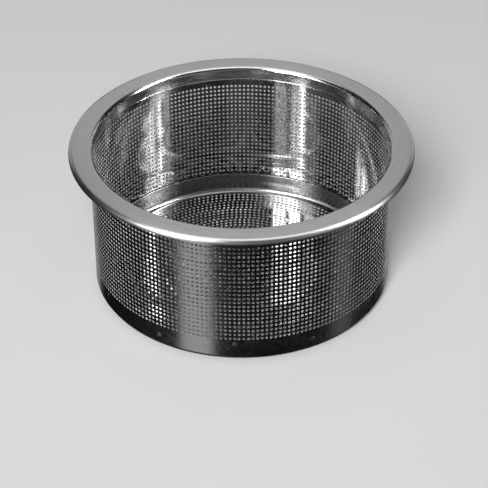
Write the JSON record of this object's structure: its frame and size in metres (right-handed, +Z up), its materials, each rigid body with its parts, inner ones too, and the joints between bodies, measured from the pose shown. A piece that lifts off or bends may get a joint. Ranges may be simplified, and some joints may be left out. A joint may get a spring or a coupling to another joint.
{
  "type": "basket strainer",
  "caption": "Short round stainless-steel basket strainer: finely perforated sleeve, wide hanging rim and a flat perforated base, open at the top.",
  "frame": {"origin": "centre of the base, on the surface the strainer stands on", "axes": "+Z up along the basket's axis, out of its open mouth; +X and +Y across the basket, with the sleeve's weld seam 5 degrees from +X"},
  "size_m": [0.0768, 0.0768, 0.0352],
  "materials": {
    "satin_rim": "fine turned satin",
    "bright_sleeve": "bright rolled sheet, lightly brushed round the wall",
    "brushed_pan": "bright pressed sheet",
    "seam_bead": "ground weld, slightly duller than the sheet",
    "spot_button": "small pale weld mark"
  },
  "bodies": {
    "root": {"rim_flange": "satin_rim", "perforated_sleeve": "bright_sleeve", "base_pan": "brushed_pan", "sleeve_seam_weld": "seam_bead", "base_spot_weld_01": "spot_button", "base_spot_weld_02": "spot_button", "base_spot_weld_03": "spot_button", "base_spot_weld_04": "spot_button", "base_spot_weld_05": "spot_button", "base_spot_weld_06": "spot_button", "base_spot_weld_07": "spot_button", "base_spot_weld_08": "spot_button", "base_spot_weld_09": "spot_button", "base_spot_weld_10": "spot_button", "base_spot_weld_11": "spot_button", "base_spot_weld_12": "spot_button", "neck_spot_weld_01": "spot_button", "neck_spot_weld_02": "spot_button", "neck_spot_weld_03": "spot_button", "neck_spot_weld_04": "spot_button", "neck_spot_weld_05": "spot_button", "neck_spot_weld_06": "spot_button", "neck_spot_weld_07": "spot_button", "neck_spot_weld_08": "spot_button", "neck_spot_weld_09": "spot_button", "neck_spot_weld_10": "spot_button", "neck_spot_weld_11": "spot_button", "neck_spot_weld_12": "spot_button"}
  },
  "joints": []
}
